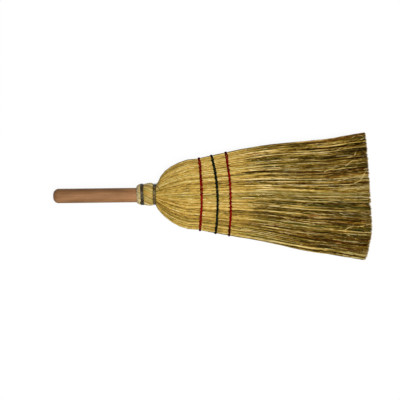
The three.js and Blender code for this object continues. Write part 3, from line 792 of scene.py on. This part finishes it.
def layFibres(quarter, stalk):
    draw, size = quarter.draw, (fibres["count"], 1)
    parent = np.repeat(np.arange(stalks["count"]), fibres["count"] // stalks["count"])
    across, up, turnAcross, turnUp, fork, tone, green, rust = (values[parent] for values in stalk)
    start = fork - draw.uniform(0, fibres["beforeFork"], size)
    crossing = draw.uniform(0, 1, size) < fibres["crossingShare"]
    apart = np.where(crossing, fibres["crossing"], fibres["apart"]) * draw.normal(0, 1, size)
    end = quarter.trimmed(across + turnAcross + apart)
    short = draw.uniform(0, 1, size) < fibres["shortShare"]
    end = end - short * draw.uniform(*fibres["short"], size)
    share, station, run = stretched(fibres, start, end)
    spread = share ** draw.uniform(0.8, 1.6, size)
    up = up + turnUp * run + draw.normal(0, 0.04, size) * spread
    layer = quarter.paths(fibres, share, station, across + turnAcross * run + apart * spread, up, parent)
    tone = tone + draw.normal(0, 0.12, size) + fibres["lighter"] - fibres["fade"] * run - shade(up)
    green = green + draw.normal(0, 0.1, size)
    rust = (rust + draw.normal(0, 0.12, size)) * fibres["rustier"] * run
    quarter.lay(fibres, layer, tone, green, rust)


# loose filling between them
filling = dict(
    count=420, sides=4, rings=9, radius=0.5 * mm, widths=(0.7, 1.6), taper=(0.45, 1),
    sway=(1.5 * mm, 1.7), fade=0.22,
)


def layFilling(quarter):
    draw, size = quarter.draw, (filling["count"], 1)
    across = draw.uniform(0, skirt["widest"], size)
    up = draw.uniform(0, skirt["widest"], size)
    start = draw.uniform(*skirt["starts"], size)
    turnAcross = draw.normal(0, 0.03, size)
    share, station, run = stretched(filling, start, quarter.trimmed(across + turnAcross))
    turnUp = draw.normal(0, 0.07, size)
    layer = quarter.paths(filling, share, station, across + turnAcross * run, up + turnUp * run)
    tone = quarter.tone(across) - shade(up) - filling["fade"] * run
    green = quarter.green(across)
    quarter.lay(filling, layer, tone, green, draw.normal(-0.1, 0.2, size) * run)


# short twigs that lie aslant over them, most of them near the tips
twigs = dict(
    count=280, sides=4, rings=4, radius=0.36 * mm, widths=(0.7, 1.3), taper=(0.4, 1),
    sway=(0.8 * mm, 1.7), last=372 * mm, back=200 * mm, length=(10 * mm, 34 * mm),
    slant=math.radians(11), inside=1 * mm, brightShare=0.35, bright=0.25, dull=-0.15,
    fade=0.16,
)


def layTwigs(quarter):
    draw, size = quarter.draw, (twigs["count"], 1)
    start = twigs["last"] - twigs["back"] * draw.uniform(0, 1, size) ** 1.5
    length = draw.uniform(*twigs["length"], size)
    across = draw.uniform(0, skirt["widest"], size)
    slant = np.tan(draw.normal(0, twigs["slant"], size)) * length / halfWidth(start)
    end = np.minimum(start + length, trimmedStation(across * quarter.side) - twigs["inside"])
    share, station, run = stretched(twigs, start, end)
    up = draw.uniform(0.86, 0.99, size)
    layer = quarter.paths(twigs, share, station, across + slant * share, up)
    tone = quarter.tone(across) - twigs["fade"] * run
    tone = tone + np.where(draw.uniform(0, 1, size) < twigs["brightShare"], twigs["bright"], twigs["dull"])
    green = draw.normal(-0.1, 0.25, size)
    quarter.lay(twigs, layer, tone, green, draw.normal(0, 0.25, size))


def makeSkirt(name, face, side, seed):
    quarter = Quarter(name, face, side, seed)
    layFibres(quarter, layStalks(quarter))
    layFilling(quarter)
    layTwigs(quarter)
    pickOnly(*quarter.laid)
    bpy.ops.object.join()
    piece = bpy.context.object
    piece.select_set(False)
    dress(piece, skirtLook, "bristle_straw", "bristles_" + name)


makeSkirt("front_left", 1, 1, 301)
makeSkirt("front_right", 1, -1, 602)
makeSkirt("back_left", -1, 1, 23)
makeSkirt("back_right", -1, -1, 24)


# loose bits on the front, as the photograph shows them: places along and across in millimetres,
# and for each heap of husks its length in millimetres and its count too
loose = dict(
    rings=12, sides=5, proud=0.9 * mm, taper=0.5,
    pale=(
        ((338, 49), (344, 53), (348, 57.5), (355, 59.5), (361, 57)),
        ((365, 25.5), (368.5, 29.5), (371.5, 35.5), (376, 42)),
        ((352.5, 18), (360.5, 20.5), (367.5, 26.5), (371.5, 32.5)),
        ((371, 42), (374, 44), (377, 44.3)),
        ((354, 67.5), (356.5, 71), (357.5, 74.5)),
        ((327, -35), (336, -37.5), (344, -36)),
        ((337, -65), (344, -60), (353, -58)),
        ((300.5, 38.5), (310.5, 43.5), (319.5, 45)),
        ((285, -49.5), (295, -52.5), (307, -50.5)),
    ),
    husks=((277.5, -39.5, 20, 9), (215, -55.5, 9, 4), (176, -54.5, 7, 3), (368, -49.5, 9, 5),
           (171, 70.5, 24, 5), (319, -87, 16, 4)),
    paleRadius=0.42 * mm, paleTone=1.25, huskRadius=0.5 * mm, huskTone=0.62, huskRust=0.8,
)


# a run with its corners cut until it bends smoothly
def rounded(points, passes=3):
    for _ in range(passes):
        near = between(points[:-1], points[1:], 0.25)
        far = between(points[:-1], points[1:], 0.75)
        inner = np.stack([near, far], 1).reshape(-1, points.shape[1])
        points = np.concatenate([points[:1], inner, points[-1:]])
    return points


# a run spaced evenly, and how far along it each point lies
def evenRun(points, count):
    along = lengthAlong(points)
    wanted = np.linspace(0, along[-1], count)
    return np.stack([np.interp(wanted, along, column) for column in points.T], -1), wanted


def overSkirt(route):
    even, _ = evenRun(rounded(np.array(route) * mm), loose["rings"])
    station, y = even.T
    points = bodyPoint(station, (y - lean(station)) / halfWidth(station), 0.99)
    points[:, 2] += loose["proud"] * between(0.3, 1, np.sin(np.linspace(0, math.pi, len(y))))
    return points


# a small heap of husks round one place
def huskRoutes(station, y, length, count, draw):
    routes = []
    for _ in range(count):
        start = station + draw.uniform(-0.5, 0.3) * length
        beside = y + draw.normal(0, 1.3)
        drift = beside * 0.02 + draw.normal(0, 0.5)
        routes.append(((start, beside), (start + length * 0.5, beside + drift)))
    return routes


def makeLoose():
    draw = np.random.default_rng(61)
    routes = list(loose["pale"])
    for heap in loose["husks"]:
        routes += huskRoutes(*heap, draw)
    isHusk = np.arange(len(routes))[:, None] >= len(loose["pale"])
    taper = 1 - loose["taper"] * np.linspace(0, 1, loose["rings"])
    tone = np.where(isHusk, loose["huskTone"], loose["paleTone"])
    layer = dict(
        centres=np.array([overSkirt(route) for route in routes]),
        outward=np.array([0.0, 0.0, 1.0]),
        radius=np.where(isHusk, loose["huskRadius"], loose["paleRadius"]) * taper,
        tone=tone + draw.normal(0, 0.05, isHusk.shape),
        green=0.0 * isHusk,
        rust=isHusk * loose["huskRust"],
    )
    piece = layStraws("loose_straw", loose["sides"], 1.0, layer)
    dress(piece, skirtLook, "bristle_straw", "bristles_front_left", "bristles_front_right")


makeLoose()
print("skirt laid")


# a bent rod or thread through points, from a bevelled curve
def rodThrough(name, runs, radius, sides):
    curve = bpy.data.curves.new(name, "CURVE")
    curve.dimensions = "3D"
    curve.bevel_depth = radius
    curve.bevel_resolution = sides // 2 - 2
    curve.use_fill_caps = True
    for run in runs:
        spline = curve.splines.new("POLY")
        spline.points.add(len(run) - 1)
        spline.points.foreach_set("co", np.column_stack([run, np.ones(len(run))]).ravel())
    rod = bpy.data.objects.new(name, curve)
    bpy.context.scene.collection.objects.link(rod)
    pickOnly(rod)
    bpy.ops.object.convert(target="MESH")
    rod = bpy.context.object
    rod.data.shade_smooth()
    rod.select_set(False)
    return rod


# binding wire, wound round the collar, its ends driven into the straw
wireTurns = dict(
    collar_wire=dict(turns=4.4, start=2.5, slant=0.6 * mm, thicker=0.3 * mm, onward=0.0),
    neck_wire=dict(turns=3.4, start=-1.87, slant=0.0, thicker=0.2 * mm, onward=2.2 * mm),
)
# the neck wire's tail, pushed into the shoulder: station in millimetres, turn, depth in millimetres
wireTail = ((2.2, 0.83, -0.5), (4.6, 1.06, -0.5), (7.0, 1.24, -0.3), (8.4, 1.32, 2.5))
wire = dict(
    radius=0.62 * mm, sides=10, steps=48, wobble=0.05 * mm, endDepths=np.array([2.9, 0.9, 0.27]) * mm,
    endBack=1.0 * mm,
)


def makeWire(node, turns, start, slant, thicker, onward):
    low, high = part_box(node)
    turnRadius = (high.y - low.y) / 2 - wire["radius"] + thicker
    first, last = low.x + wire["radius"], high.x - wire["radius"] + onward
    share = np.linspace(0, 1, int(turns * wire["steps"]))
    turn = start + share * turns * 2 * math.pi
    draw = np.random.default_rng(5)
    knots = np.arange(0, turns + 1)
    sway = np.interp(share * turns, knots, draw.normal(0, wire["wobble"], len(knots)))
    x = between(first, last, share) + sway - slant * np.cos(turn)
    inward = turnRadius - wire["endDepths"]
    back = wire["endBack"] / turnRadius
    if node == "neck_wire":
        station, tailTurn, depth = np.array(wireTail).T
        tail = skinPoint(station * mm, tailTurn, depth * mm)
        finish = rounded(np.concatenate([roundStick(x[-1:], turnRadius, turn[-1:]), tail]))[1:]
    else:
        finish = roundStick(x[-1] + 0 * inward, inward, turn[-1] + back)[::-1]
    begin = roundStick(x[0] + 0 * inward, inward, turn[0] - back)
    points = np.concatenate([begin, roundStick(x, turnRadius, turn), finish])
    rod = rodThrough("wound_" + node, [points], wire["radius"], wire["sides"])
    dress(rod, steelLook, "binding_wire", node)


for node, winding in wireTurns.items():
    makeWire(node, **winding)
print("wire wound")

# stalk ends of the collar, pressed in under both wires and twisted in between
collar = dict(
    count=24, rings=34, sides=10, flatness=0.62, layers=(0.0, 1.6 * mm),
    starts=(0.3 * mm, 2.4 * mm), past=2.5 * mm, twist=math.radians(58),
    seat=17.6 * mm, bulge=20.9 * mm, lip=19.1 * mm, face=13.8 * mm, pressRun=0.6 * mm,
    bulgeShares=((0, 0), (0.04, 0.42), (0.2, 0.68), (0.4, 0.88), (0.65, 1), (0.93, 0.93), (1.03, 0)),
    overlap=1.12, mostTint=0.8, cutRun=8 * mm, cut=0.9,
)


# the collar's radius: cuff at the grip, seat under the wires, bulge between them
def collarSkin(x, cuffLow):
    wireLow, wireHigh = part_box("collar_wire")
    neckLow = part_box("neck_wire")[0]
    swell = readOff((x - wireHigh.x) / (neckLow.x - wireHigh.x), collar["bulgeShares"])
    skin = between(collar["seat"], collar["bulge"], swell)
    share = np.clip((x - cuffLow) / (wireLow.x - cuffLow), 0, 1)
    cuff = between(collar["face"], collar["lip"], share ** 0.55)
    pressEnd = wireLow.x + collar["pressRun"]
    cuff = between(cuff, collar["seat"], eased(x, wireLow.x - collar["pressRun"], pressEnd))
    return np.where(x < pressEnd, cuff, skin)


def collarLayer(shift, sunk, draw):
    low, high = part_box("collar_stalks")
    size = (collar["count"], 1)
    pitch = 2 * math.pi / collar["count"]
    place = (np.arange(collar["count"])[:, None] + shift + draw.normal(0, 0.12, size)) * pitch
    begin = low.x + draw.uniform(*collar["starts"], size)
    x = between(begin, high.x + collar["past"], np.linspace(0, 1, collar["rings"]))
    turn = place + collar["twist"] * (x - low.x) / (high.x - low.x)
    skin = collarSkin(x, low.x)
    width = skin * pitch / 2 * collar["overlap"] * draw.uniform(0.85, 1.12, size)
    sink = sunk + draw.uniform(0, 0.35 * mm, size)
    return dict(
        centres=roundStick(x, skin - width * collar["flatness"] - sink, turn),
        outward=np.stack([0 * x, np.cos(turn), np.sin(turn)], -1),
        radius=width,
        tone=draw.normal(0.59, 0.17, size),
        green=np.clip(draw.normal(0.0, 0.3, size), 0, collar["mostTint"]),
        rust=np.clip(draw.normal(-0.1, 0.35, size), 0, collar["mostTint"]),
        cut=(1 - eased(x, begin, begin + collar["cutRun"])) * collar["cut"],
    )


def makeCollar():
    draw = np.random.default_rng(41)
    layers = [collarLayer(0.5 * k, sunk, draw) for k, sunk in enumerate(collar["layers"])]
    piece = layStraws("collar_of_stalks", collar["sides"], collar["flatness"], *layers)
    dress(piece, collarLook, "collar_straw", "collar_stalks")


makeCollar()
print("collar gathered")

# twine rows: two wraps over the front, crossed by sewing stitches
twine = dict(
    radius=0.58 * mm, ply=0.52 * mm, plies=3, sides=6, lay=5.5 * mm, stepsPerLay=9,
    pitch=2.1 * mm, proud=0.6 * mm, steps=260, waver=0.35 * mm,
    edgeWrap=0.4, edgeLift=1.2 * mm, edgeSink=0.8 * mm, stitch=8 * mm, sewn=0.93,
    stitchHalf=2.3 * mm, stitchSlant=1.3 * mm, stitchHeight=1.9 * mm, stitchDive=1.7 * mm,
    stitchLift=0.3 * mm,
)


# three plies laid round each other along a run
def plied(points, outward):
    count = max(3, int(lengthAlong(points)[-1] / twine["lay"] * twine["stepsPerLay"]))
    even, length = evenRun(points, count)
    wanted, given = np.linspace(0, 1, count), np.linspace(0, 1, len(outward))
    side, lift = acrossPath(even, np.stack([np.interp(wanted, given, column) for column in outward.T], -1))
    runs = []
    for k in range(twine["plies"]):
        angle = (length / twine["lay"] + k / twine["plies"])[:, None] * 2 * math.pi
        runs.append(even + twine["ply"] * (np.cos(angle) * side + np.sin(angle) * lift))
    return runs


def roundHead(row, turns, aside, lift):
    station = rowStation(row, skinPoint(row["at"], turns, 0.0)[:, 1]) + aside
    return plied(*skinPath(station, turns, -twine["proud"] - lift))


# one stitch over the row, both ends pushed into the straw
def stitchRun(row, y, face):
    share = np.linspace(-1, 1, 13)
    station = rowStation(row, y) + twine["stitchHalf"] * share
    surface = bodyPoint(station, (y + twine["stitchSlant"] * share) / halfWidth(station), face)
    over = twine["stitchHeight"] * np.cos(share * math.pi / 2) ** 0.6
    surface[:, 2] += face * (over - twine["stitchDive"] * np.abs(share) ** 3 + twine["stitchLift"])
    return plied(surface, np.tile([0.0, 0.0, face], (len(share), 1)))


def makeTwine(row, look, slot, seed):
    draw = np.random.default_rng(seed)
    runs = []
    for shift in (-twine["pitch"] / 2, twine["pitch"] / 2):
        turns = np.linspace(0, 2 * math.pi, twine["steps"])
        runs += roundHead(row, turns, shift + bands(turns, 26, twine["waver"], draw), 0.0)
    share = np.linspace(-1, 1, twine["steps"])
    arch = twine["edgeLift"] * np.cos(share * math.pi / 2) ** 0.5 - twine["edgeSink"]
    for edgeTurn in (0, math.pi):
        runs += roundHead(row, edgeTurn + twine["edgeWrap"] * share, 0.0, arch)
    sewn = twine["sewn"] * float(halfWidth(row["at"]))
    count = int(2 * sewn / twine["stitch"])
    for face in (1, -1):
        for k in range(count):
            y = between(-sewn, sewn, (k + 0.5) / count) + draw.normal(0, 0.5 * mm)
            runs += stitchRun(row, y, face)
    rod = rodThrough("sewn_" + row["node"], runs, twine["radius"], twine["sides"])
    dress(rod, look, slot, row["node"])


makeTwine(rows[0], redLook, "red_twine", 51)
makeTwine(rows[1], greenLook, "green_twine", 52)
makeTwine(rows[2], redLook, "red_twine", 53)
print("rows sewn")

# turned handle: a cylinder with its butt rounded over and a little aside
stick = dict(sides=96, round=9.5 * mm, segments=14, tilt=0.012, tiltFrom=-165 * mm)


def makeHandle():
    bpy.ops.mesh.primitive_cylinder_add(
        vertices=stick["sides"], radius=(handleHigh.y - handleLow.y) / 2, depth=handleHigh.x - handleLow.x,
        location=((handleLow.x + handleHigh.x) / 2, 0, axisZ), rotation=(0, -math.pi / 2, 0))
    piece = bpy.context.object
    piece.name = "turned_stick"
    bpy.ops.object.transform_apply()
    nearButt = handleLow.x + 0.01 * mm
    changeEdges(piece, lambda one, other: max(one.x, other.x) < nearButt,
                lambda: bpy.ops.mesh.bevel(offset=stick["round"], segments=stick["segments"]))
    for point in piece.data.vertices:
        point.co.y -= stick["tilt"] * max(0, stick["tiltFrom"] - point.co.x)
    bpy.ops.object.shade_smooth_by_angle(angle=math.radians(35))
    piece.select_set(False)
    dress(piece, beechLook, "handle_wood", "handle")


makeHandle()
print("handle turned")

# the six solids that stay as they are take the same finishes
looksBySlot = dict(
    handle_wood=beechLook, nail_steel=nailHeadLook, binding_wire=steelLook, inner_straw=innerLook)
for part in frame["record"]["subparts"]:
    if part["material_slot"] in looksBySlot:
        giveLook(frame["nodes"][part["node"]], looksBySlot[part["material_slot"]])

# floor, plain white to the camera but for a faint shadow
floor = dict(size=6.0, glow=0.94, grey=(0.3, 0.3, 0.3, 1), white=(0.92, 0.92, 0.92, 1))


def makeFloor():
    bpy.ops.mesh.primitive_plane_add(size=floor["size"], location=(0, 0, 0))
    ground = bpy.context.object
    ground.name = "pale_floor"
    look = surfaceLook("pale floor", gloss=0.1)
    plain = look.plainRays()
    look.finish(look.blend(plain, floor["grey"], floor["white"]), 0.9)
    glow = look.node("Emission", {}, {})
    inputs = {0: plain * floor["glow"], 1: look.surface.outputs[0], 2: glow.outputs[0]}
    shown = look.node("MixShader", {}, inputs)
    look.feed(look.output.inputs["Surface"], shown.outputs[0])
    giveLook(ground, look.owner)
    ground.select_set(False)


makeFloor()

# plain soft studio light
studio = Look(bpy.data.worlds.new("studio"))
lit = studio.node("Background", {}, {"Color": (1, 1, 1, 1), "Strength": 0.24})
backdrop = studio.node("Background", {}, {"Color": (1, 1, 1, 1)})
inputs = {0: studio.plainRays(), 1: lit.outputs[0], 2: backdrop.outputs[0]}
shown = studio.node("MixShader", {}, inputs)
studio.node("OutputWorld", {}, {"Surface": shown.outputs[0]})
bpy.context.scene.world = studio.owner
lamps = dict(
    key=dict(place=(0.35, -0.7, 2.15), size=1.0, watts=42),
    top=dict(place=(0.1, 0.0, 2.4), size=1.2, watts=26),
)
for name, lamp in lamps.items():
    bpy.ops.object.light_add(type="AREA", location=lamp["place"])
    light = bpy.context.object
    light.name = name + "_lamp"
    light.data.size = lamp["size"]
    light.data.energy = lamp["watts"]
    light.rotation_mode = "QUATERNION"
    light.rotation_quaternion = (-light.location).to_track_quat("-Z", "Y")
    light.select_set(False)

# camera straight above, framed as the photograph is, with the broom a little askew
picture = dict(
    size=400, buttPixel=53.4, tipPixel=371.4, axisAt=(230, 194.2), askew=-0.0061,
    lens=100, sensor=36,
)
metresPerPixel = (cadHigh.x - cadLow.x) / (picture["tipPixel"] - picture["buttPixel"])
axisPixelX, axisPixelY = picture["axisAt"]
right = np.array([math.cos(picture["askew"]), math.sin(picture["askew"])])
upward = np.array([-right[1], right[0]])
onAxis = np.array([cadLow.x + (axisPixelX - picture["buttPixel"]) * metresPerPixel, 0])
middle = (onAxis - (axisPixelX - picture["size"] / 2) * metresPerPixel * right
          - (picture["size"] / 2 - axisPixelY) * metresPerPixel * upward)
distance = picture["size"] * metresPerPixel * picture["lens"] / picture["sensor"]
bpy.ops.object.camera_add(
    location=(middle[0], middle[1], axisZ + distance), rotation=(0, 0, picture["askew"]))
camera = bpy.context.object
camera.data.lens = picture["lens"]
camera.data.sensor_width = picture["sensor"]
bpy.context.scene.camera = camera
bpy.context.scene.view_settings.view_transform = "Standard"
